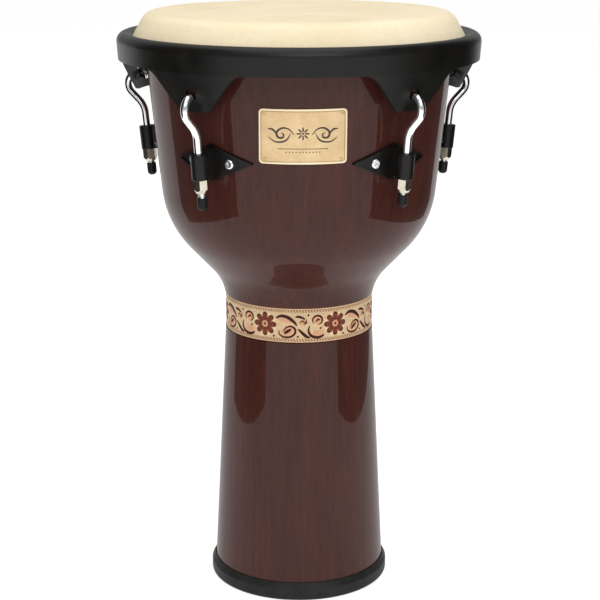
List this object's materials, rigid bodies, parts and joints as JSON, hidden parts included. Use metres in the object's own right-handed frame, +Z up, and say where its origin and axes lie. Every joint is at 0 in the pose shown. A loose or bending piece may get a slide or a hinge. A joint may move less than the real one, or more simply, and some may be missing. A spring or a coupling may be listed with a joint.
{
  "type": "djembe",
  "caption": "Goblet-shaped wooden hand drum with a rawhide head, a black steel tension hoop pulled down by hooks and tuning nuts, a tooled leather waist band and a rubber foot.",
  "frame": {"origin": "centre of the foot on the floor", "axes": "+Z up the drum's axis to the head; the badge faces -Y; +X is to the right of someone facing the badge"},
  "size_m": [0.3724, 0.3798, 0.61],
  "materials": {
    "mahogany_lacquer": "high-gloss dark mahogany lacquer over hardwood",
    "tooled_leather": "embossed tan leather with brown pattern",
    "foot_rubber": "matt black rubber",
    "badge_brass": "satin gold plate",
    "nail_brass": "polished",
    "rawhide": "smooth cream rawhide",
    "black_steel": "satin black powder coat",
    "plain_steel": "zinc-plated steel",
    "chrome": "polished chrome plate",
    "nut_nickel": "nickel-plated brass, slightly yellow",
    "cap_rubber": "black rubber"
  },
  "bodies": {
    "shell": {"shell_bowl": "mahogany_lacquer", "shell_stem": "mahogany_lacquer", "waist_band": "tooled_leather", "foot_ring": "foot_rubber", "badge_plate": "badge_brass", "badge_nails": "nail_brass", "drumhead": "rawhide", "lug_1": "black_steel", "lug_2": "black_steel", "lug_3": "black_steel", "lug_4": "black_steel", "lug_5": "black_steel", "lug_bolts_1": "chrome", "lug_bolts_2": "chrome", "lug_bolts_3": "chrome", "lug_bolts_4": "chrome", "lug_bolts_5": "chrome", "backing_plate_1": "plain_steel", "backing_plate_2": "plain_steel", "backing_plate_3": "plain_steel", "backing_plate_4": "plain_steel", "backing_plate_5": "plain_steel", "lock_nuts_1": "plain_steel", "lock_nuts_2": "plain_steel", "lock_nuts_3": "plain_steel", "lock_nuts_4": "plain_steel", "lock_nuts_5": "plain_steel"},
    "hoop": {"tension_hoop": "black_steel", "flesh_hoop": "plain_steel"},
    "hook_1_body": {"hook_1": "chrome", "rubber_cap_1": "cap_rubber"},
    "hook_2_body": {"hook_2": "chrome", "rubber_cap_2": "cap_rubber"},
    "hook_3_body": {"hook_3": "chrome", "rubber_cap_3": "cap_rubber"},
    "hook_4_body": {"hook_4": "chrome", "rubber_cap_4": "cap_rubber"},
    "hook_5_body": {"hook_5": "chrome", "rubber_cap_5": "cap_rubber"},
    "nut_1": {"tuning_nut_1": "nut_nickel"},
    "nut_2": {"tuning_nut_2": "nut_nickel"},
    "nut_3": {"tuning_nut_3": "nut_nickel"},
    "nut_4": {"tuning_nut_4": "nut_nickel"},
    "nut_5": {"tuning_nut_5": "nut_nickel"}
  },
  "joints": [
    {"name": "hoop_travel", "type": "slide", "parent": "shell", "child": "hoop", "axis": [0, 0, 1], "range_m": [-0.00497, 0.00155], "deforming": ["drumhead"]},
    {"name": "nut_1_turn", "type": "hinge", "parent": "shell", "child": "nut_1", "pos_m": [0.09898, -0.13624, 0.47236], "axis": [0.0607, -0.0835, 0.9947], "range_deg": [-450, 1440]},
    {"name": "hook_1_pull", "type": "slide", "parent": "shell", "child": "hook_1_body", "axis": [0.0607, -0.0835, 0.9947], "range_m": [-0.005, 0.00156]},
    {"name": "nut_2_turn", "type": "hinge", "parent": "shell", "child": "nut_2", "pos_m": [0.16015, 0.05204, 0.47236], "axis": [0.0981, 0.0319, 0.9947], "range_deg": [-450, 1440]},
    {"name": "hook_2_pull", "type": "slide", "parent": "shell", "child": "hook_2_body", "axis": [0.0981, 0.0319, 0.9947], "range_m": [-0.005, 0.00156]},
    {"name": "nut_3_turn", "type": "hinge", "parent": "shell", "child": "nut_3", "pos_m": [0, 0.1684, 0.47236], "axis": [0, 0.1032, 0.9947], "range_deg": [-450, 1440]},
    {"name": "hook_3_pull", "type": "slide", "parent": "shell", "child": "hook_3_body", "axis": [0, 0.1032, 0.9947], "range_m": [-0.005, 0.00156]},
    {"name": "nut_4_turn", "type": "hinge", "parent": "shell", "child": "nut_4", "pos_m": [-0.16015, 0.05204, 0.47236], "axis": [-0.0981, 0.0319, 0.9947], "range_deg": [-450, 1440]},
    {"name": "hook_4_pull", "type": "slide", "parent": "shell", "child": "hook_4_body", "axis": [-0.0981, 0.0319, 0.9947], "range_m": [-0.005, 0.00156]},
    {"name": "nut_5_turn", "type": "hinge", "parent": "shell", "child": "nut_5", "pos_m": [-0.09898, -0.13624, 0.47236], "axis": [-0.0607, -0.0835, 0.9947], "range_deg": [-450, 1440]},
    {"name": "hook_5_pull", "type": "slide", "parent": "shell", "child": "hook_5_body", "axis": [-0.0607, -0.0835, 0.9947], "range_m": [-0.005, 0.00156]}
  ],
  "couplings": [
    {"joint": "nut_1_turn", "follows": "hoop_travel", "rad_per_m": -5053.5},
    {"joint": "hook_1_pull", "follows": "hoop_travel", "ratio": 1.0054},
    {"joint": "nut_2_turn", "follows": "hoop_travel", "rad_per_m": -5053.5},
    {"joint": "hook_2_pull", "follows": "hoop_travel", "ratio": 1.0054},
    {"joint": "nut_3_turn", "follows": "hoop_travel", "rad_per_m": -5053.5},
    {"joint": "hook_3_pull", "follows": "hoop_travel", "ratio": 1.0054},
    {"joint": "nut_4_turn", "follows": "hoop_travel", "rad_per_m": -5053.5},
    {"joint": "hook_4_pull", "follows": "hoop_travel", "ratio": 1.0054},
    {"joint": "nut_5_turn", "follows": "hoop_travel", "rad_per_m": -5053.5},
    {"joint": "hook_5_pull", "follows": "hoop_travel", "ratio": 1.0054}
  ]
}
